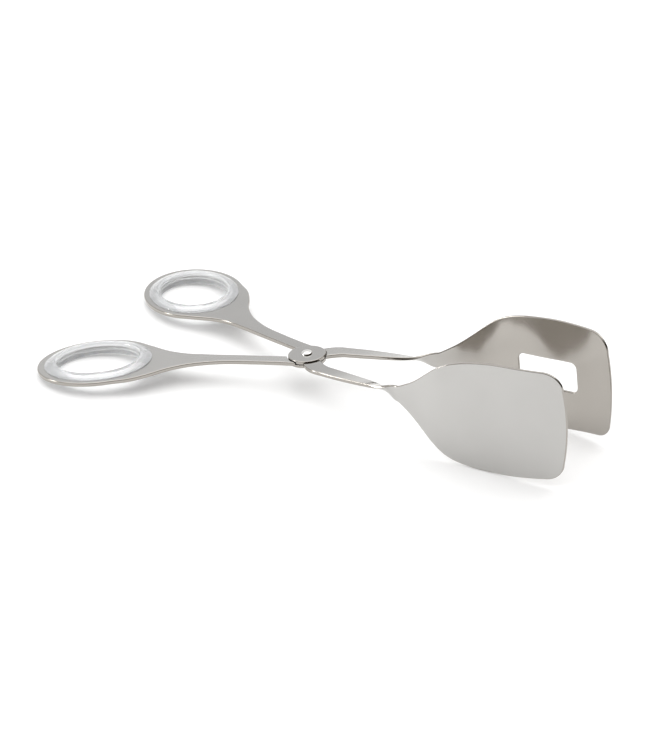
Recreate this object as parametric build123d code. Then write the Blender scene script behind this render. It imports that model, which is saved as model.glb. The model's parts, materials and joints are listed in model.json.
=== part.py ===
from build123d import *
import os
from math import cos, radians, sin

# Scissor-action serving tongs, millimetres.
#
# Everything is first built in the tongs' own frame: origin where the arms cross, +X towards the blades,
# +Y towards the upper arm's finger ring, +Z square to the flat arms, the pivot a little ahead of the
# origin. The upper arm carries the top pivot disc, its ring is at +Y and its blade at -Y. The lower arm
# is the upper one turned over about the X axis, and its blade has a window.
#
# At the end the whole assembly is laid down as it rests on a table, on the finger ring grips and the
# lower edges of the blades, with the table at z = 0 and the origin under the middle of its box.

# --- driving dimensions ---------------------------------------------------------------------------
PLATE = 2.0                       # thickness of the arms
SHEET = 1.2                       # thickness of the blades

RING_CENTRE = (-90.8, 42.7)       # middle of the finger ring
RING_TURN = -35.0                 # its long axis, degrees from +X
BAND_A, BAND_B = 29.5, 24.1       # outside of the steel ring band, half axes
OVAL = 0.826                      # short axis over long axis of the band's hole and of the grips
LOOP_A = 21.6                     # hole in the steel band, long half axis
SHANK_OUTER, SHANK_INNER = 82, -52  # where the bar's two edges leave the ring, degrees round the oval
GRIP_HOLE_A = 20.0                # finger hole through the grips, long half axis
GRIP_FLANGE_A = 26.0              # outside of the grips' flange, long half axis
GRIP_CROWN = 3.25                 # height of the flange's crown above the middle of the plate
GRIP_RIM = 0.45                   # upright rim of the flange, above the plate
SLIP = 0.1                        # play between grip and steel, sideways
GRIP_PLAY = 0.02                  # and under the flange
CROWN_IN = 1.1                    # from the edge of the finger hole to the crown
SHOULDER_IN, SHOULDER_UP = 1.7, 0.75  # the dome's shoulder, in from the rim and up from it
CROWN_OUT, CROWN_DROP = 1.3, 0.3  # and where the dome levels off, outside the crown and below it

PIVOT_AHEAD = 1.1                 # the pivot's middle, ahead of the origin
DISC_R = 9.1                      # pivot disc
DISC_T = 1.65                     # its thickness
DISC_GAP = 0.3                    # between the two discs
RECESS_R = 9.6                    # shoulder that each arm keeps outside the other's disc
RIVET_R = 1.6
RIVET_HOLE_R = 1.65
HEAD_R, HEAD_H = 2.65, 1.45       # domed head
HEAD_EDGE = 0.5                   # rounding of its edge
TAIL_R, TAIL_H = 2.5, 0.8         # peened tail
TAIL_EDGE = 0.5                   # rounding of its edge
TAIL_PLAY = 0.04                  # between the tail and the lower disc
WASHER_R, WASHER_T = 5.5, 0.26

STRIP = 7.3                       # width of the arm between pivot and neck
STRIP_START = 18.0                # where the flat plate turns into the twisting strip
FLARE_START = 54.0                # the strip starts to widen towards the blade
NECK_END = 63.0                   # the twist is complete, the blade begins
BLADE_TIP = 153.7                 # furthest point of the bowed tip edge
TOP_END, BOTTOM_END = 151.6, 149.2  # where the top and bottom edges would meet the tip edge
TIP_TOP_R, TIP_BOTTOM_R = 10.0, 8.5
WINDOW_X = (101.6, 133.2)
WINDOW_H = 15.3
WINDOW_R = 3.0
WINDOW_RISE = -0.4                # its middle, above the blade's
BLADE_REACH = 40.0                # half height of the blank that each blade is cut from

UPPER_TURN = 0.6                  # the upper arm stands turned this far about the pivot, degrees
REST_TILT = 6.245                 # slope of the arms when the tongs lie on a table, degrees

# --- curves of the arm, as points (x, value) that a smooth line passes through ----------------------
# Middle line of strip and blade in plan, for the upper arm.
MIDDLE = [(18, -11.1), (24, -12.2), (32, -13.5), (40, -14.7), (48, -16.0), (56, -17.8), (63, -19.7),
          (70, -22.1), (77, -24.9), (84, -27.3), (91, -28.4), (100, -28.1), (115, -27.2), (130, -26.7),
          (142, -25.2), (154, -22.2), (160, -20.6)]
# Twist of the strip, degrees: 0 is flat, 90 is upright.
TWIST = [(18, 0), (24, 1.5), (32, 5.5), (40, 11), (46, 17), (50, 24), (53, 34), (56, 53), (59, 76),
         (61, 87), (63, 90)]
# Half height of the upright blade.
HALF_HEIGHT = [(63, 4.1), (66, 5.6), (72, 8.9), (78, 13.0), (84, 17.6), (90, 21.8), (96, 24.6),
               (104, 26.6), (112, 27.6), (122, 28.1), (134, 27.7), (154, 26.6)]


def on_curve(points, x):
    """Value at x of the smooth line through the points: cubic pieces that share their slopes."""
    last = len(points) - 1

    def slope(i):
        (xa, ya), (xb, yb) = points[max(i - 1, 0)], points[min(i + 1, last)]
        return (yb - ya) / (xb - xa)

    i = max(k for k in range(last) if x >= points[k][0])
    (xa, ya), (xb, yb) = points[i], points[i + 1]
    span = xb - xa
    u = (x - xa) / span
    return (
        ya * (2 * u**3 - 3 * u**2 + 1)
        + yb * (3 * u**2 - 2 * u**3)
        + span * slope(i) * (u**3 - 2 * u**2 + u)
        + span * slope(i + 1) * (u**3 - u**2)
    )


def ring_point(angle, a=BAND_A, b=BAND_B):
    """Point of the ring band's outline at an angle round the oval, and its direction there."""
    turn = radians(RING_TURN)
    t = radians(angle)
    along, across = a * cos(t), b * sin(t)
    d_along, d_across = -a * sin(t), b * cos(t)
    point = (
        RING_CENTRE[0] + along * cos(turn) - across * sin(turn),
        RING_CENTRE[1] + along * sin(turn) + across * cos(turn),
    )
    heading = (
        d_along * cos(turn) - d_across * sin(turn),
        d_along * sin(turn) + d_across * cos(turn),
    )
    return point, heading


def oval_face(a, b):
    """Oval face on the finger ring's centre and axes."""
    return Pos(*RING_CENTRE) * Rot(0, 0, RING_TURN) * Ellipse(a, b)


# --- arms -------------------------------------------------------------------------------------------
def shank_face():
    """Flat handle bar in plan: it leaves the ring band tangentially and ends on the pivot disc."""
    start, heading = ring_point(SHANK_OUTER)
    outer = Spline(
        start, (-66.3, 54.0), (-60.3, 46.2), (-55.6, 38.0), (-49.2, 30.5), (-38.5, 22.9), (-20, 15.5),
        (-9, 12.0), (3.4, 8.75),
        tangents=[(-heading[0], -heading[1]), (1, -0.27)],
    )
    start, heading = ring_point(SHANK_INNER)
    inner = Spline(
        start, (-76, 18.1), (-64, 19.8), (-56, 19.3), (-47, 17.0), (-30, 11.6), (-9, 5.0), (-6, 4.1),
        tangents=[heading, (1, -0.31)],
    )
    edges = [outer, Line(outer @ 1, inner @ 1), inner, Line(inner @ 0, outer @ 0)]
    return make_face(Wire(edges))


def root_face():
    """Flat root of the blade side in plan, from the pivot disc to the start of the twisting strip."""
    middle = on_curve(MIDDLE, STRIP_START)
    near, far = middle - STRIP / 2, middle + STRIP / 2
    outer = Spline(
        (0.5, -5.5), (5.0, -9.7), (7.8, -11.9), (11, -13.5), (STRIP_START, near),
        tangents=[(1, -0.9), (1, -0.15)],
    )
    inner = Spline(
        (7.5, -1.4), (11.0, -3.4), (14, -5.6), (STRIP_START, far),
        tangents=[(1, -0.2), (1, -0.25)],
    )
    edges = [outer, Line(outer @ 1, inner @ 1), inner, Line(inner @ 0, outer @ 0)]
    return make_face(Wire(edges))


def strip(side):
    """Strip from the flat root to the upright blade; the +Y edge turns down on both arms."""
    sections = []
    for x in (STRIP_START, 21, 24, 28, 32, 36, 40, 44, 47, 50, 52, 54, 56, 58, 60, 61.5, NECK_END):
        twist = radians(on_curve(TWIST, x) if x < NECK_END else 90)
        share = (x - STRIP_START) / (NECK_END - STRIP_START)
        thickness = PLATE + (SHEET - PLATE) * share**2
        grow = 2 * HALF_HEIGHT[0][1] - STRIP
        width = STRIP + grow * max(0, (x - FLARE_START) / (NECK_END - FLARE_START)) ** 2
        plane = Plane(
            origin=(x, side * on_curve(MIDDLE, x), 0), x_dir=(0, cos(twist), -sin(twist)), z_dir=(1, 0, 0)
        )
        sections.append(plane * Rectangle(width, thickness))
    return loft(sections)


def blade_edge(end, way):
    """Top (way +1) or bottom (way -1) edge of the blade, from the neck to its corner."""
    stations = [x for x, _ in HALF_HEIGHT if x < end - 5] + [end]
    return Spline(*[(x, way * on_curve(HALF_HEIGHT, x)) for x in stations])


def blade_outline():
    """Blade seen square on: flaring top and bottom edges, a bowed tip edge and rounded corners."""
    top, bottom = blade_edge(TOP_END, 1), blade_edge(BOTTOM_END, -1)
    tip = ThreePointArc(top @ 1, (BLADE_TIP, 0), bottom @ 1)
    face = make_face(Wire([top, tip, bottom, Line(bottom @ 0, top @ 0)]))
    upper_corner = face.vertices().sort_by(Axis.X)[-2:].sort_by(Axis.Y)[-1]
    face = fillet(upper_corner, TIP_TOP_R)
    lower_corner = face.vertices().sort_by(Axis.Y)[0]
    return fillet(lower_corner, TIP_BOTTOM_R)


def blade(side):
    """Upright blade: a sheet bent along its middle line in plan, cut to the blade's outline."""
    line = [(x, side * y) for x, y in MIDDLE if x >= NECK_END]
    near, far = [Spline(*[(x, y + way * SHEET / 2) for x, y in line]) for way in (-1, 1)]
    plan = make_face(Wire([near, Line(near @ 1, far @ 1), far, Line(far @ 0, near @ 0)]))
    sheet = extrude(plan, BLADE_REACH, both=True)
    return sheet & extrude(Plane.XZ * blade_outline(), BLADE_REACH, both=True)


def window():
    """Cutter for the window in the lower arm's blade."""
    length = WINDOW_X[1] - WINDOW_X[0]
    middle = (WINDOW_X[0] + WINDOW_X[1]) / 2
    face = Pos(middle, WINDOW_RISE) * RectangleRounded(length, WINDOW_H, WINDOW_R)
    return extrude(Plane.XZ * face, BLADE_REACH, both=True)


def arm(side):
    """Whole arm: side +1 is the upper arm, side -1 the lower arm."""
    handle = oval_face(BAND_A, BAND_B) + shank_face() - oval_face(LOOP_A, LOOP_A * OVAL)
    flat = extrude(handle, PLATE / 2, both=True) + extrude(root_face(), PLATE / 2, both=True)
    lap = Pos(PIVOT_AHEAD, 0, DISC_GAP / 2 - PLATE) * Cylinder(RECESS_R, 2 * PLATE)
    disc = Pos(PIVOT_AHEAD, 0, (DISC_GAP + DISC_T) / 2) * Cylinder(DISC_R, DISC_T)
    flat = flat - lap + disc
    if side < 0:
        flat = mirror(flat, Plane.XZ)
        flat = mirror(flat, Plane.XY)
    whole = flat + strip(side) + blade(side) - Pos(PIVOT_AHEAD, 0, 0) * Cylinder(RIVET_HOLE_R, 4 * PLATE)
    return whole if side > 0 else whole - window()


# --- grips ------------------------------------------------------------------------------------------
def stack(levels):
    """Solid of straight-sided oval bands; each level is (long half axis, height)."""
    bands = []
    for (a_low, z_low), (a_high, z_high) in zip(levels, levels[1:]):
        low, high = [Pos(0, 0, z) * oval_face(a, a * OVAL) for a, z in ((a_low, z_low), (a_high, z_high))]
        bands.append(loft([low, high], ruled=True))
    return sum(bands[1:], bands[0])


def grip_half(side, face):
    """Clear half ring: collar inside the steel loop, domed flange over the band; face +1 is the top."""
    hole, flange, collar = GRIP_HOLE_A, GRIP_FLANGE_A, LOOP_A - SLIP
    seat = PLATE / 2 + GRIP_PLAY
    crown_a = hole + CROWN_IN
    outside = stack([(collar, 0), (collar, seat + GRIP_RIM / 2)])
    outside += stack([
        (flange, seat),
        (flange, seat + GRIP_RIM),
        (flange - SHOULDER_IN, seat + GRIP_RIM + SHOULDER_UP),
        (crown_a + CROWN_OUT, GRIP_CROWN - CROWN_DROP),
        (crown_a, GRIP_CROWN),
    ])
    inside = stack([
        (hole, -PLATE / 2),
        (hole, GRIP_CROWN - CROWN_IN),
        (hole + 0.3 * CROWN_IN, GRIP_CROWN - 0.3 * CROWN_IN),
        (crown_a + CROWN_IN, GRIP_CROWN + 0.7 * CROWN_IN),
    ])
    ring = outside - inside
    if side < 0:
        ring = mirror(ring, Plane.XZ)
    if face < 0:
        ring = mirror(ring, Plane.XY)
    return ring


# --- pivot ------------------------------------------------------------------------------------------
def rivet():
    """Rivet fixed in the upper disc: domed head above, shank through both discs, peened tail below."""
    top = DISC_GAP / 2 + DISC_T
    under = -top - TAIL_PLAY
    on_top = (Align.CENTER, Align.CENTER, Align.MIN)
    below = (Align.CENTER, Align.CENTER, Align.MAX)
    head = Pos(0, 0, top) * Cylinder(HEAD_R, HEAD_H, align=on_top)
    head = fillet(head.edges().sort_by(Axis.Z)[-1], HEAD_EDGE)
    tail = Pos(0, 0, under) * Cylinder(TAIL_R, TAIL_H, align=below)
    tail = fillet(tail.edges().sort_by(Axis.Z)[0], TAIL_EDGE)
    shank = Pos(0, 0, under) * Cylinder(RIVET_R, top - under, align=on_top)
    return Pos(PIVOT_AHEAD, 0, 0) * (head + shank + tail)


def washer():
    """Thin washer that keeps the two discs apart."""
    ring = Cylinder(WASHER_R, WASHER_T) - Cylinder(RIVET_HOLE_R, 2 * WASHER_T)
    return Pos(PIVOT_AHEAD, 0, 0) * ring


# --- assembly ---------------------------------------------------------------------------------------
nodes = {
    "upper_arm": arm(1),
    "lower_arm": arm(-1),
    "upper_arm_grip_top": grip_half(1, 1),
    "upper_arm_grip_bottom": grip_half(1, -1),
    "lower_arm_grip_top": grip_half(-1, 1),
    "lower_arm_grip_bottom": grip_half(-1, -1),
    "pivot_rivet": rivet(),
    "pivot_washer": washer(),
}

# Turn the upper arm about the pivot, tilt the tongs into their resting pose, then set the box's
# underside on z = 0, centred on the origin.
turn_upper = Pos(PIVOT_AHEAD, 0, 0) * Rot(0, 0, UPPER_TURN) * Pos(-PIVOT_AHEAD, 0, 0)
for name in nodes:
    if name.startswith("upper"):
        nodes[name] = turn_upper * nodes[name]
tilted = {name: Rot(0, -REST_TILT, 0) * shape for name, shape in nodes.items()}
boxes = [shape.bounding_box() for shape in tilted.values()]
low_x, high_x = min(b.min.X for b in boxes), max(b.max.X for b in boxes)
low_y, high_y = min(b.min.Y for b in boxes), max(b.max.Y for b in boxes)
set_down = (-(low_x + high_x) / 2, -(low_y + high_y) / 2, -min(b.min.Z for b in boxes))

os.makedirs("parts", exist_ok=True)
for name, shape in tilted.items():
    export_step(Pos(*set_down) * shape, f"parts/{name}.step")
print("the tongs' origin", [round(v, 4) for v in set_down])
print("underside of each node", {name: round(b.min.Z + set_down[2], 3) for name, b in zip(nodes, boxes)})
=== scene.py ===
import json
from math import cos, pi, radians, sin, tan

import bmesh
import bpy
from mathutils import Matrix, Vector


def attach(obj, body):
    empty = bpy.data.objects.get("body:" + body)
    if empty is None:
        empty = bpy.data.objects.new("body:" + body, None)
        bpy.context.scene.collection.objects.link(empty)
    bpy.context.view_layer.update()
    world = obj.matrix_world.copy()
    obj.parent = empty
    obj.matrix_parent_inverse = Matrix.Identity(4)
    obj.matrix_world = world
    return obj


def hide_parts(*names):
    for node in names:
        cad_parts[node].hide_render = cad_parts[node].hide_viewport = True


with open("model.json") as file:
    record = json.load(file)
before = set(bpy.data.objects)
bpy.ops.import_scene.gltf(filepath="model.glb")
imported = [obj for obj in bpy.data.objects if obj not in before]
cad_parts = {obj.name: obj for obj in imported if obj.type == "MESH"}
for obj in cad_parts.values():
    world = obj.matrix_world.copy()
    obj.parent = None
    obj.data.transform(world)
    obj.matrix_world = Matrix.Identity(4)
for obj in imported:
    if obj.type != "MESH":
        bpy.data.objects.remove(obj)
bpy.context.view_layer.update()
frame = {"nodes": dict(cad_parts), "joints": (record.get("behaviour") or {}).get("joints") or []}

# Scissor-action serving tongs. Shapes are built in millimetres in the tongs' own frame: origin where the
# arms cross, +X towards the blades, +Y towards the upper arm's ring, +Z square to the flat arms.
# The hinge in the record says where that frame lies, so every finished piece is set down with it.
MM = 0.001
HINGE = frame["joints"][0]
PIVOT = Vector(HINGE["pos_m"])
AXIS = Vector(HINGE["axis"]).normalized()
SIDE_WAY = Vector((0, 1, 0))
ALONG = SIDE_WAY.cross(AXIS).normalized()
PIVOT_AHEAD = 1.1                 # the pivot's middle, ahead of the tongs' origin
UPPER_TURN = 0.6                  # the upper arm stands turned this far about the pivot, degrees


def set_down(side):
    """Matrix that takes a piece of one half from the tongs' frame, in millimetres, to the row's frame."""
    turn = Matrix.Rotation(radians(UPPER_TURN) if side > 0 else 0, 4, "Z")
    frame_axes = Matrix((ALONG, SIDE_WAY, AXIS)).transposed().to_4x4()
    to_pivot = Matrix.Translation((-PIVOT_AHEAD, 0, 0))
    return Matrix.Translation(PIVOT) @ frame_axes @ Matrix.Scale(MM, 4) @ turn @ to_pivot


# ---- dimensions, as in the CAD model (mm, degrees) ----
PLATE, SHEET = 2.0, 1.2
RING_CENTRE, RING_TURN = (-90.8, 42.7), radians(-35)
BAND_A, BAND_B = 29.5, 24.1
OVAL = 0.826
LOOP_A, GRIP_HOLE_A, GRIP_FLANGE_A = 21.6, 20.0, 26.0
GRIP_CROWN, GRIP_RIM, GRIP_PLAY = 3.25, 0.45, 0.02
DISC_R, DISC_T, DISC_GAP = 9.1, 1.65, 0.3
RECESS_R = 9.6
HEAD_R, HEAD_H = 2.65, 1.45
TAIL_R, TAIL_H, TAIL_PLAY = 2.5, 0.8, 0.04
RIVET_R, RIVET_HOLE_R = 1.6, 1.65
STRIP, STRIP_START, NECK_END = 7.3, 18.0, 63.0
BLADE_TIP, TOP_END, BOTTOM_END, TIP_TOP_R, TIP_BOTTOM_R = 153.7, 151.6, 149.2, 10.0, 8.5
WINDOW_X, WINDOW_H, WINDOW_R, WINDOW_RISE = (101.6, 133.2), 15.3, 3.0, -0.4
FLARE_START = 54.0                # the strip starts to widen towards the blade
SHANK_OUTER, SHANK_INNER = 82, -52  # where the bar's two edges leave the ring, degrees round the oval

# ---- finer detail, and how finely the meshes are divided (mm) ----
TRIM = 0.02                       # the detailed pieces stand this far inside the CAD's outline
BLADE_TRIM = 0.996                # and the blades' half height is this share of the CAD's
EDGE_ROUND = 0.5                  # rounding of the steel's edges
DISC_INSET = 0.06                 # the blank's outline runs this far inside the disc's
DISC_SOFT, DISC_CHAMFER = 0.38, 0.15  # rounding of the disc's upper rim, chamfer of its lower one
LAP_OVERLAP = 0.02                # the disc sits this deep in the plate that carries it
FLAT_FACE = 0.92                  # a face of the blank whose normal is this upright is a broad face
BEND_STEP, BLADE_STEP = 0.9, 1.4  # spacing of the cuts along the twisted strip and along the blade
TIP_CLEAR = 0.6                   # the last cut stays this far inside the tip
GRIP_SLIP, GRIP_SEAM, GRIP_LIP = 0.1, 0.03, 1.05  # play in the loop, half the seam, rounding at the hole
RING_STEPS = 224                  # sections round a grip
HEAD_EDGE, TAIL_SOFT = 0.3, 0.42  # upright rim of the rivet's head, rounding of its tail

MIDDLE = [(18, -11.1), (24, -12.2), (32, -13.5), (40, -14.7), (48, -16.0), (56, -17.8), (63, -19.7),
          (70, -22.1), (77, -24.9), (84, -27.3), (91, -28.4), (100, -28.1), (115, -27.2), (130, -26.7),
          (142, -25.2), (154, -22.2), (160, -20.6)]
TWIST = [(18, 0), (24, 1.5), (32, 5.5), (40, 11), (46, 17), (50, 24), (53, 34), (56, 53), (59, 76),
         (61, 87), (63, 90)]
HALF_HEIGHT = [(63, 4.1), (66, 5.6), (72, 8.9), (78, 13.0), (84, 17.6), (90, 21.8), (96, 24.6),
               (104, 26.6), (112, 27.6), (122, 28.1), (134, 27.7), (154, 26.6)]


# ---- curves ----
def on_curve(points, x):
    """Value at x of the smooth line through the points: cubic pieces that share their slopes."""
    last = len(points) - 1

    def slope(i):
        (xa, ya), (xb, yb) = points[max(i - 1, 0)], points[min(i + 1, last)]
        return (yb - ya) / (xb - xa)

    i = max([k for k in range(last) if x >= points[k][0]], default=0)
    (xa, ya), (xb, yb) = points[i], points[i + 1]
    span = xb - xa
    u = (x - xa) / span
    return (
        ya * (2 * u**3 - 3 * u**2 + 1)
        + yb * (3 * u**2 - 2 * u**3)
        + span * slope(i) * (u**3 - 2 * u**2 + u)
        + span * slope(i + 1) * (u**3 - u**2)
    )


def through(points, start, end, steps=10):
    """Points of a smooth line through the given points, with its directions at both ends."""
    pts = [Vector(p) for p in points]
    lengths = [(b - a).length for a, b in zip(pts, pts[1:])]
    heads = [Vector(start).normalized()]
    for i in range(1, len(pts) - 1):
        before, after = (pts[i] - pts[i - 1]) / lengths[i - 1], (pts[i + 1] - pts[i]) / lengths[i]
        heads.append((before * lengths[i] + after * lengths[i - 1]).normalized())
    heads.append(Vector(end).normalized())
    line = []
    for i, span in enumerate(lengths):
        for k in range(steps):
            u = k / steps
            line.append(
                pts[i] * (2 * u**3 - 3 * u**2 + 1)
                + pts[i + 1] * (3 * u**2 - 2 * u**3)
                + heads[i] * span * (u**3 - 2 * u**2 + u)
                + heads[i + 1] * span * (u**3 - u**2)
            )
    return line + [pts[-1]]


def ring_point(angle, a, b):
    """Point at an angle round an oval on the finger ring's centre and axes."""
    along, across = a * cos(angle), b * sin(angle)
    return Vector((
        RING_CENTRE[0] + along * cos(RING_TURN) - across * sin(RING_TURN),
        RING_CENTRE[1] + along * sin(RING_TURN) + across * cos(RING_TURN),
    ))


def arc(centre, radius, start, end, steps=12):
    """Points of an arc between two angles in degrees."""
    angles = [radians(start + (end - start) * k / steps) for k in range(steps + 1)]
    return [Vector((centre[0] + radius * cos(t), centre[1] + radius * sin(t))) for t in angles]


# ---- steel arms: one flat outline, cut from plate, then bent and twisted ----
def round_corner(line_a, line_b, radius, steps=10):
    """Joins two lines of points that meet at a corner with an arc of the radius, tangent to both."""
    corner = line_a[-1]
    back, ahead = (line_a[-2] - corner).normalized(), (line_b[1] - corner).normalized()
    half = back.angle(ahead) / 2
    reach, out = radius / tan(half), radius / sin(half)
    centre = corner + (back + ahead).normalized() * out
    keep_a = [p for p in line_a if (p - corner).length > reach]
    keep_b = [p for p in line_b if (p - corner).length > reach]
    first, last = corner + back * reach - centre, corner + ahead * reach - centre
    turn = first.angle_signed(last)
    bend = []
    for k in range(steps + 1):
        t = -turn * k / steps
        across, up = first.x * cos(t) - first.y * sin(t), first.x * sin(t) + first.y * cos(t)
        bend.append(centre + Vector((across, up)))
    return keep_a + bend + keep_b


def half_width(x):
    """Half the width of the flat blank past the root: narrow strip, then the flaring blade."""
    if x >= NECK_END:
        return on_curve(HALF_HEIGHT, x) * BLADE_TRIM
    grow = HALF_HEIGHT[0][1] * BLADE_TRIM - STRIP / 2
    return STRIP / 2 + grow * max(0, (x - FLARE_START) / (NECK_END - FLARE_START)) ** 2


def tip_edge(top_end, bottom_end, steps=24):
    """Bowed tip edge of the blank from its upper end to its lower end, as (x, height)."""
    a = Vector((top_end, half_width(top_end)))
    b = Vector((bottom_end, -half_width(bottom_end)))
    control = Vector((BLADE_TIP, 0)) * 2 - (a + b) / 2
    shares = [k / steps for k in range(steps + 1)]
    return [a * (1 - u) ** 2 + control * 2 * u * (1 - u) + b * u**2 for u in shares]


def blank_outline(side):
    """Outline of the flat blank of one arm, in plan, with the blade laid flat beside its middle line."""
    centre = MIDDLE[0][1]
    start = ring_point(radians(SHANK_OUTER), BAND_A, BAND_B)
    head = ring_point(radians(SHANK_OUTER - 0.1), BAND_A, BAND_B) - start
    disc = arc((PIVOT_AHEAD, 0), DISC_R - DISC_INSET, 74, -16, 24)
    back = arc((PIVOT_AHEAD, 0), DISC_R - DISC_INSET, -72, -209, 30)
    outer = through([start, (-66.3, 54.0), (-60.3, 46.2), (-55.6, 38.0), (-49.2, 30.5), (-38.5, 22.9),
                     (-20, 15.5), (-9, 12.0), disc[0]], head, (1, -0.27))
    root_in = through([disc[-1], (11.0, -3.4), (14, -5.6), (STRIP_START, centre + STRIP / 2)],
                      (1, -0.75), (1, -0.25))
    lower_end, upper_end = (BOTTOM_END, TOP_END) if side > 0 else (TOP_END, BOTTOM_END)
    lower_r, upper_r = (TIP_BOTTOM_R, TIP_TOP_R) if side > 0 else (TIP_TOP_R, TIP_BOTTOM_R)
    lower = [Vector((x, half_width(x))) for x in steps_between(STRIP_START + 0.5, lower_end, 1.0)]
    upper = [Vector((x, -half_width(x))) for x in steps_between(upper_end, STRIP_START + 0.5, 1.0)]
    edge = round_corner(lower, tip_edge(lower_end, upper_end), lower_r)
    edge = round_corner(edge, upper, upper_r)
    blade = [p + Vector((0, centre)) for p in edge]
    root_out = through([(STRIP_START, centre - STRIP / 2), (11, -13.5), (7.8, -11.9), (5.0, -9.7),
                        back[0]], (-1, 0.15), (-1, 0.9))
    ring_start = ring_point(radians(SHANK_INNER), BAND_A, BAND_B)
    ring_head = ring_start - ring_point(radians(SHANK_INNER + 0.1), BAND_A, BAND_B)
    inner = through([back[-1], (-30, 11.6), (-47, 17.0), (-56, 19.3), (-64, 19.8), (-76, 18.1), ring_start],
                    (-1, 0.31), ring_head)
    sweep = 360 - SHANK_OUTER + SHANK_INNER
    ring = [ring_point(radians(SHANK_INNER - sweep * k / 120), BAND_A, BAND_B) for k in range(1, 120)]
    return outer + disc[1:] + root_in[1:] + blade + root_out + back[1:] + inner[1:] + ring


def steps_between(a, b, step):
    """Evenly spaced numbers from a to b, about a step apart."""
    count = max(1, round(abs(b - a) / step))
    return [a + (b - a) * k / count for k in range(count + 1)]


def rounded_window(side):
    """Outline of the window, on the flat blank."""
    low, high = WINDOW_X
    middle = MIDDLE[0][1] - side * WINDOW_RISE
    half = WINDOW_H / 2
    left, right = low + WINDOW_R, high - WINDOW_R
    bottom, top = middle - half + WINDOW_R, middle + half - WINDOW_R
    corners = [(right, top, 0), (left, top, 90), (left, bottom, 180), (right, bottom, 270)]
    return [p for x, y, turn in corners for p in arc((x, y), WINDOW_R, turn, turn + 90, 8)]


def new_object(name, data):
    """Object with the data, linked into the scene."""
    obj = bpy.data.objects.new(name, data)
    bpy.context.scene.collection.objects.link(obj)
    return obj


def plate_from(loops):
    """Mesh of a plate with rounded edges, from its outline and the outlines of its holes."""
    curve = bpy.data.curves.new("blank", "CURVE")
    curve.dimensions = "2D"
    curve.fill_mode = "BOTH"
    curve.extrude = PLATE / 2 - EDGE_ROUND
    curve.bevel_depth = EDGE_ROUND
    curve.bevel_resolution = 4
    curve.offset = -EDGE_ROUND - TRIM
    for loop in loops:
        spline = curve.splines.new("POLY")
        spline.points.add(len(loop) - 1)
        for point, p in zip(spline.points, loop):
            point.co = (p.x, p.y, 0, 1)
        spline.use_cyclic_u = True
    blank = new_object("blank", curve)
    bpy.context.view_layer.update()
    mesh = bpy.data.meshes.new_from_object(blank.evaluated_get(bpy.context.evaluated_depsgraph_get()))
    bpy.data.objects.remove(blank)
    bm = bmesh.new()
    bm.from_mesh(mesh)
    bmesh.ops.remove_doubles(bm, verts=bm.verts, dist=0.002)
    bmesh.ops.recalc_face_normals(bm, faces=bm.faces)
    bm.to_mesh(mesh)
    bm.free()
    return mesh


def lathe(profile, segments=128, name="turned"):
    """Mesh of a closed profile of (radius, height) points turned about the pivot."""
    bm = bmesh.new()
    rings = []
    for r, z in profile:
        if r == 0:
            rings.append([bm.verts.new((0, 0, z))])
        else:
            angles = [2 * pi * k / segments for k in range(segments)]
            rings.append([bm.verts.new((r * cos(t), r * sin(t), z)) for t in angles])
    for low, high in zip(rings, rings[1:] + rings[:1]):
        for k in range(segments):
            after = (k + 1) % segments
            corners = [low[k % len(low)], low[after % len(low)], high[after % len(high)], high[k % len(high)]]
            corners = list(dict.fromkeys(corners))
            if len(corners) > 2:
                bm.faces.new(corners)
    bmesh.ops.translate(bm, verts=bm.verts, vec=(PIVOT_AHEAD, 0, 0))
    bmesh.ops.recalc_face_normals(bm, faces=bm.faces)
    mesh = bpy.data.meshes.new(name)
    bm.to_mesh(mesh)
    bm.free()
    return mesh


def combine(mesh, tool_mesh, operation):
    """The mesh with the tool mesh cut out of it or joined to it."""
    body, tool = new_object("body", mesh), new_object("tool", tool_mesh)
    step = body.modifiers.new("cut", "BOOLEAN")
    step.operation = operation
    step.solver = "EXACT"
    step.object = tool
    bpy.context.view_layer.update()
    result = bpy.data.meshes.new_from_object(body.evaluated_get(bpy.context.evaluated_depsgraph_get()))
    bpy.data.objects.remove(body)
    bpy.data.objects.remove(tool)
    return result


def bent(x, y, z, side):
    """Place on the finished arm of a point of the flat blank."""
    if x <= STRIP_START:
        return x, y, z
    share = min(1, (x - STRIP_START) / (NECK_END - STRIP_START))
    z *= 1 + (SHEET / PLATE - 1) * share**2
    twist = radians(on_curve(TWIST, x) if x < NECK_END else 90)
    off = y - side * MIDDLE[0][1]
    middle = side * on_curve(MIDDLE, x)
    return x, middle + off * cos(twist) + z * sin(twist), -off * sin(twist) + z * cos(twist)


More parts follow.
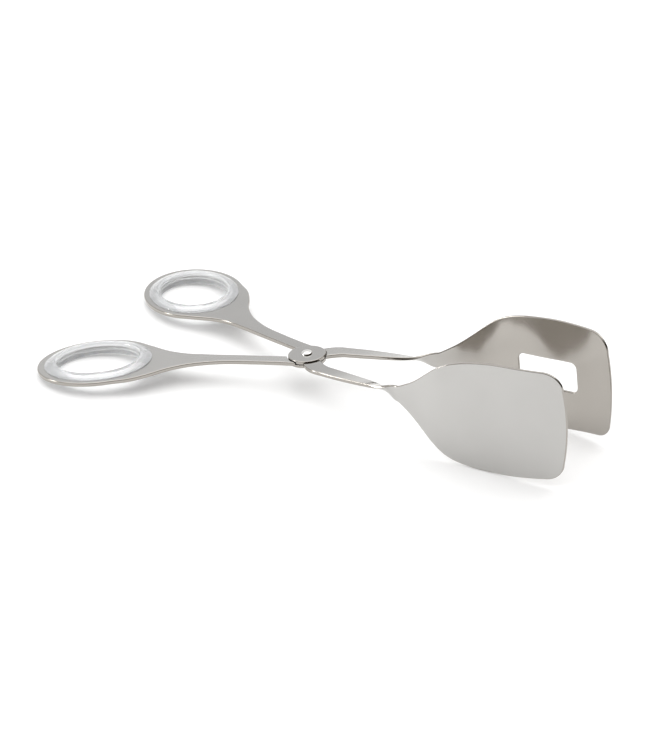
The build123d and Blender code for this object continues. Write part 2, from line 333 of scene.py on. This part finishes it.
def arm(name, side):
    """One arm: side +1 is the upper arm with the solid blade, side -1 the lower one with the window."""
    ring_hole = [ring_point(2 * pi * k / 144, LOOP_A, LOOP_A * OVAL) for k in range(144)]
    rivet_hole = arc((PIVOT_AHEAD, 0), RIVET_HOLE_R, 0, 345, 23)
    loops = [blank_outline(side), ring_hole, rivet_hole]
    if side < 0:
        loops.append(rounded_window(side))
    mesh = plate_from(loops)
    lap = DISC_GAP / 2
    cut_top = lap + LAP_OVERLAP
    cutter = lathe([(0, -PLATE), (RECESS_R, -PLATE), (RECESS_R, cut_top), (0, cut_top)])
    mesh = combine(mesh, cutter, "DIFFERENCE")
    top = lap + DISC_T
    rim = [(DISC_R - DISC_SOFT + DISC_SOFT * sin(t), top - DISC_SOFT + DISC_SOFT * cos(t))
           for t in steps_between(0, pi / 2, pi / 10)]
    disc = lathe([(RIVET_HOLE_R, lap), (RIVET_HOLE_R, top)] + rim
                 + [(DISC_R, lap + DISC_CHAMFER), (DISC_R - DISC_CHAMFER, lap)])
    mesh = combine(mesh, disc, "UNION")
    bm = bmesh.new()
    bm.from_mesh(mesh)
    cuts = steps_between(STRIP_START, NECK_END, BEND_STEP)
    cuts += steps_between(NECK_END + BLADE_STEP, BLADE_TIP - TIP_CLEAR, BLADE_STEP)
    for x in cuts:
        geometry = bm.verts[:] + bm.edges[:] + bm.faces[:]
        bmesh.ops.bisect_plane(bm, geom=geometry, plane_co=(x, 0, 0), plane_no=(1, 0, 0), dist=0.003)
    bm.normal_update()
    along = bm.loops.layers.uv.new("grain")
    for face in bm.faces:
        face.smooth = True
        upright = face.normal.z
        # Index 1 is the edges and index 2 the faces that become the blades' inner faces; both materials carry
        # painted shade in their tones.
        face.material_index = 1 if abs(upright) < FLAT_FACE else 2 if upright > 0 else 0
        for corner in face.loops:
            corner[along].uv = (corner.vert.co.x * MM, corner.vert.co.y * MM)
    for v in bm.verts:
        x, y, z = v.co
        v.co = bent(x, side * y, side * z, side)
    bm.to_mesh(mesh)
    bm.free()
    mesh.name = name
    return finished(new_object(name, mesh), side)


def finished(obj, side, angle=48):
    """Sets a piece down in the row frame, with smooth shading that follows its broad faces."""
    obj.data.transform(set_down(side))
    obj.data.set_sharp_from_angle(angle=radians(angle))
    weigh = obj.modifiers.new("broad faces first", "WEIGHTED_NORMAL")
    weigh.keep_sharp = True
    weigh.weight = 80
    return obj


# ---- clear grips and rivet ----
def oval_ring(name, side, face):
    """Clear half ring: its section is swept round the oval; face +1 is the top half."""
    hole, flange, collar = GRIP_HOLE_A, GRIP_FLANGE_A, LOOP_A - GRIP_SLIP
    seat, seam, top = PLATE / 2 + GRIP_PLAY, GRIP_SEAM, GRIP_CROWN - TRIM
    lip = GRIP_LIP
    section = [(hole + 0.16, seam), (hole, seam + 0.16), (hole, top - lip)]
    section += [(hole + lip - lip * cos(t), top - lip + lip * sin(t))
                for t in steps_between(pi / 14, pi / 2, pi / 14)]
    crown, edge = hole + lip, flange - 0.18
    for k in range(1, 13):
        u = k / 12
        section.append((crown + (edge - crown) * u, top - (top - seat - GRIP_RIM) * u**1.7))
    section += [(flange - 0.03, seat + GRIP_RIM - 0.12), (flange, seat + GRIP_RIM - 0.3),
                (flange, seat + 0.1), (flange - 0.1, seat), (collar + 0.12, seat), (collar, seat - 0.12),
                (collar, seam + 0.1), (collar - 0.1, seam)]
    bm = bmesh.new()
    rings = []
    for k in range(RING_STEPS):
        t = 2 * pi * k / RING_STEPS
        ring = []
        for a, z in section:
            p = ring_point(t, a, a * OVAL)
            ring.append(bm.verts.new((p.x, side * p.y, face * z)))
        rings.append(ring)
    for here, there in zip(rings, rings[1:] + rings[:1]):
        for k in range(len(section)):
            after = (k + 1) % len(section)
            bm.faces.new((here[k], here[after], there[after], there[k]))
    for f in bm.faces:
        f.smooth = True
    bmesh.ops.recalc_face_normals(bm, faces=bm.faces)
    mesh = bpy.data.meshes.new(name)
    bm.to_mesh(mesh)
    bm.free()
    return finished(new_object(name, mesh), side, 62)


def rivet(name):
    """Polished rivet: domed head above, shank through both discs, peened tail below."""
    top = DISC_GAP / 2 + DISC_T
    under, crown = -top - TAIL_PLAY, top + HEAD_H
    head = [(HEAD_R * sin(t), top + HEAD_EDGE + (HEAD_H - HEAD_EDGE) * cos(t))
            for t in steps_between(pi / 2, pi / 20, pi / 20)]
    tail = [(TAIL_R - TAIL_SOFT + TAIL_SOFT * sin(t), under - TAIL_H + TAIL_SOFT - TAIL_SOFT * cos(t))
            for t in steps_between(0, pi / 2, pi / 12)]
    profile = [(0, under - TAIL_H)] + tail
    profile += [(TAIL_R, under), (RIVET_R, under), (RIVET_R, top), (HEAD_R, top)]
    mesh = lathe(profile + head + [(0, crown)], 96, name)
    for face in mesh.polygons:
        face.use_smooth = True
    return finished(new_object(name, mesh), 1)


# ---- materials ----
STEEL_TONE = (0.505, 0.497, 0.482, 1)  # the bars, and the blades' outer faces
# The blades' inner faces are the same steel as the rest: this darker, warmer tone is painted shade and a
# painted warm reflection.
INNER_PAINTED_SHADE = (0.45, 0.425, 0.393, 1)   # the blades' inner faces
BLADE_FROM, BLADE_ALL = 0.045, 0.08    # where the blade's tone starts and is complete, metres along +X


class Nodes:
    """Short way to build a node tree."""

    def __init__(self, name):
        self.material = bpy.data.materials.new(name)
        self.material.use_nodes = True
        self.tree = self.material.node_tree
        self.shader = self.tree.nodes["Principled BSDF"]

    def add(self, kind, **values):
        """New node; each value is set on the input of that name, or else on the node itself."""
        node = self.tree.nodes.new(kind)
        for key, value in values.items():
            if key in node.inputs:
                node.inputs[key].default_value = value
            else:
                setattr(node, key, value)
        return node

    def link(self, a, b):
        self.tree.links.new(a, b)

    def ramp(self, source, stops):
        """Colour ramp on the source; a stop is (place, grey or colour)."""
        ramp = self.add("ShaderNodeValToRGB")
        elements = ramp.color_ramp.elements
        while len(elements) < len(stops):
            elements.new(0.5)
        for element, (place, value) in zip(elements, stops):
            element.position = place
            element.color = value if isinstance(value, tuple) else (value, value, value, 1)
        self.link(source, ramp.inputs["Fac"])
        return ramp.outputs["Color"]

    def noise(self, scale, detail, rough=0.5):
        """Noise in the object's own space, at a scale per metre."""
        place = self.add("ShaderNodeTexCoord")
        stretch = self.add("ShaderNodeMapping", Scale=(scale, scale, scale))
        self.link(place.outputs["Object"], stretch.inputs["Vector"])
        noise = self.add("ShaderNodeTexNoise", Scale=1.0, Detail=detail, Roughness=rough)
        self.link(stretch.outputs["Vector"], noise.inputs["Vector"])
        return noise.outputs["Fac"]

    def bump(self, source, strength, distance):
        bump = self.add("ShaderNodeBump", Strength=strength, Distance=distance)
        self.link(source, bump.inputs["Height"])
        return bump.outputs["Normal"]


def satin_steel(name, blade_tone, smooth, coarse):
    """Satin stainless steel: its grain runs along the blank, so highlights spread across the blank."""
    n = Nodes(name)
    n.shader.inputs["Metallic"].default_value = 1.0
    n.shader.inputs["Anisotropic"].default_value = 0.6
    n.shader.inputs["Anisotropic Rotation"].default_value = 0.25
    lay = n.add("ShaderNodeUVMap", uv_map="grain")
    stretch = n.add("ShaderNodeMapping", Scale=(90, 5200, 1))
    grain = n.add("ShaderNodeTexNoise", Scale=1.0, Detail=4.0, Roughness=0.62)
    n.link(lay.outputs["UV"], stretch.inputs["Vector"])
    n.link(stretch.outputs["Vector"], grain.inputs["Vector"])
    grain = grain.outputs["Fac"]
    tangent = n.add("ShaderNodeTangent", direction_type="UV_MAP", uv_map="grain")
    n.link(tangent.outputs["Tangent"], n.shader.inputs["Tangent"])
    haze = n.ramp(n.noise(60, 2.0), [(0.3, (0.97, 0.97, 0.97, 1)), (0.7, (1, 1, 1, 1))])
    split = n.add("ShaderNodeSeparateXYZ")
    n.link(lay.outputs["UV"], split.inputs["Vector"])
    # Along the blank the tone turns from the steel's to blade_tone; on the blades' inner faces that darker
    # tone is painted shade.
    tone = n.ramp(split.outputs["X"], [(BLADE_FROM, STEEL_TONE), (BLADE_ALL, blade_tone)])
    mix = n.add("ShaderNodeMix", data_type="RGBA", blend_type="MULTIPLY")
    mix.inputs["Factor"].default_value = 1.0
    n.link(tone, mix.inputs["A"])
    n.link(haze, mix.inputs["B"])
    n.link(mix.outputs["Result"], n.shader.inputs["Base Color"])
    n.link(n.ramp(grain, [(0.3, smooth), (0.7, coarse)]), n.shader.inputs["Roughness"])
    n.link(n.bump(grain, 0.06, 0.00002), n.shader.inputs["Normal"])
    return n.material


def polished_steel(name, rough, tone):
    """Polished steel of edges and rivet, with faint tumbling marks."""
    n = Nodes(name)
    n.shader.inputs["Metallic"].default_value = 1.0
    marks = n.noise(900, 3.0, 0.6)
    n.link(n.ramp(marks, [(0.35, tuple(0.96 * c for c in tone) + (1,)), (0.65, tone + (1,))]),
           n.shader.inputs["Base Color"])
    n.link(n.ramp(marks, [(0.3, rough), (0.7, rough * 1.6)]), n.shader.inputs["Roughness"])
    n.link(n.bump(marks, 0.04, 0.00002), n.shader.inputs["Normal"])
    return n.material


def clear_plastic(name):
    """Clear moulded plastic with very faint flow marks."""
    n = Nodes(name)
    n.shader.inputs["Base Color"].default_value = (0.965, 0.975, 0.985, 1)
    n.shader.inputs["Transmission Weight"].default_value = 0.76
    n.shader.inputs["IOR"].default_value = 1.49
    flow = n.noise(260, 2.0)
    n.link(n.ramp(flow, [(0.3, 0.012), (0.75, 0.05)]), n.shader.inputs["Roughness"])
    n.link(n.bump(flow, 0.05, 0.0002), n.shader.inputs["Normal"])
    return n.material


SATIN = satin_steel("satin_steel", STEEL_TONE, 0.2, 0.26)
# The blades' inner faces: a smoother grain, and a darker, warmer tone that is painted shade and a painted
# warm reflection.
INNER_SHADED = satin_steel("satin_steel_inner_painted_shade", INNER_PAINTED_SHADE, 0.08, 0.13)
# The steel's edges: polished, with a darker, brownish tone that is painted shade.
EDGE_SHADED = polished_steel("polished_edge_painted_shade", 0.06, (0.38, 0.358, 0.33))
MIRROR = polished_steel("polished_rivet", 0.045, (0.74, 0.73, 0.715))
CLEAR = clear_plastic("clear_plastic")


def place(obj, body, slot, materials, *nodes):
    """Gives a piece its materials and body, and hides the CAD nodes that it stands in for. The slot is not
    used.
    """
    for material in materials:
        obj.data.materials.append(material)
    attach(obj, body)
    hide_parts(*nodes)


for way, body, label in ((1, "upper_half", "upper"), (-1, "lower_half", "lower")):
    steel = arm(f"{label}_steel_arm", way)
    place(steel, body, "steel", (SATIN, EDGE_SHADED, INNER_SHADED), f"{label}_arm")
    for face, word in ((1, "top"), (-1, "bottom")):
        grip = oval_ring(f"{label}_clear_grip_{word}", way, face)
        place(grip, body, "clear_grip", (CLEAR,), f"{label}_arm_grip_{word}")
place(rivet("domed_rivet"), "upper_half", "polished_steel", (MIRROR,), "pivot_rivet")
# The washer takes the edges' polished steel, with its painted shade.
frame["nodes"]["pivot_washer"].data.materials.clear()
frame["nodes"]["pivot_washer"].data.materials.append(EDGE_SHADED)


# ---- floor, light and camera ----
CAMERA_HEADING, CAMERA_ELEVATION, CAMERA_ROLL = -31.559, 28.61, -0.2036  # degrees
CAMERA_LENS = 202.84
ORIGIN_IN_VIEW = (-0.009367, 0.008843, -2.0124)  # the tongs' origin in the camera's axes, metres
# Brightness of the studio along its bright direction: dark to the front and right, brightest to the
# back left, and a little less again where the arms' tops mirror it.
BRIGHT_SIDE = (-0.51, 0.2, 0.75)
SKY = [(0.0, (0.04, 0.032, 0.025)), (0.1, (0.1, 0.085, 0.07)), (0.3, (0.45, 0.44, 0.42)),
       (0.48, (1, 1, 1)), (0.6, (0.95, 0.95, 0.95)), (0.72, (0.68, 0.68, 0.68)),
       (0.85, (0.8, 0.8, 0.8)), (1.0, (1, 1, 1))]
WORLD_LIGHT, FLOOR_GLOW = 1.13, 0.2
FLOOR_HALF, FLOOR_DROP = 4.0, 0.0001  # half its side, and how far it lies under the tongs, metres
LIGHTS_AIM = Vector((0, 0, 0.02))


def world_light():
    """Studio round the table: bright overhead and at the back left, dark at the right and front."""
    world = bpy.data.worlds.new("studio")
    bpy.context.scene.world = world
    world.use_nodes = True
    tree = world.node_tree
    way = tree.nodes.new("ShaderNodeTexCoord")
    side = tree.nodes.new("ShaderNodeVectorMath")
    side.operation = "DOT_PRODUCT"
    side.inputs[1].default_value = BRIGHT_SIDE
    ramp = tree.nodes.new("ShaderNodeValToRGB")
    tree.links.new(way.outputs["Generated"], side.inputs[0])
    tree.links.new(side.outputs["Value"], ramp.inputs["Fac"])
    tree.links.new(ramp.outputs["Color"], tree.nodes["Background"].inputs["Color"])
    tree.nodes["Background"].inputs["Strength"].default_value = WORLD_LIGHT
    elements = ramp.color_ramp.elements
    while len(elements) < len(SKY):
        elements.new(0.5)
    for element, (height, colour) in zip(elements, SKY):
        element.position = height
        element.color = colour + (1,)


def softbox(name, place_at, size, power):
    """Rectangular light that faces the tongs."""
    light = bpy.data.lights.new(name, "AREA")
    light.shape = "RECTANGLE"
    light.size, light.size_y = size
    light.energy = power
    obj = new_object(name, light)
    obj.location = place_at
    obj.rotation_euler = (LIGHTS_AIM - Vector(place_at)).to_track_quat("-Z", "Y").to_euler()


def floor():
    """Plain pale floor."""
    bm = bmesh.new()
    bmesh.ops.create_grid(bm, x_segments=24, y_segments=24, size=FLOOR_HALF)
    mesh = bpy.data.meshes.new("floor")
    bm.to_mesh(mesh)
    bm.free()
    obj = new_object("floor", mesh)
    obj.location.z = -FLOOR_DROP
    n = Nodes("white_floor")
    n.shader.inputs["Base Color"].default_value = (0.8, 0.8, 0.8, 1)
    n.shader.inputs["Roughness"].default_value = 0.9
    n.shader.inputs["Specular IOR Level"].default_value = 0.1
    n.shader.inputs["Emission Color"].default_value = (1, 1, 1, 1)
    n.shader.inputs["Emission Strength"].default_value = FLOOR_GLOW
    mesh.materials.append(n.material)


def camera():
    """Long lens, looking down at the tongs from the side of the solid blade."""
    heading, elevation, roll = radians(CAMERA_HEADING), radians(CAMERA_ELEVATION), radians(CAMERA_ROLL)
    turn = Matrix.Rotation(heading, 3, "Z")
    tilt = Matrix(((1, 0, 0), (0, sin(elevation), cos(elevation)), (0, -cos(elevation), sin(elevation))))
    look = Matrix.Rotation(roll, 3, "Z") @ tilt @ turn
    data = bpy.data.cameras.new("camera")
    data.sensor_width = 36
    data.lens = CAMERA_LENS
    data.clip_end = 20
    obj = new_object("camera", data)
    back = look.transposed()
    origin = PIVOT - ALONG * PIVOT_AHEAD * MM
    obj.matrix_world = Matrix.Translation(origin - back @ Vector(ORIGIN_IN_VIEW)) @ back.to_4x4()
    bpy.context.scene.camera = obj


world_light()
softbox("key", (-0.05, 0.2, 1.3), (2.2, 2.0), 17)
softbox("side strip", (-0.97, -0.70, 0.32), (0.25, 0.5), 4)
floor()
camera()
bpy.context.scene.view_settings.view_transform = "Standard"
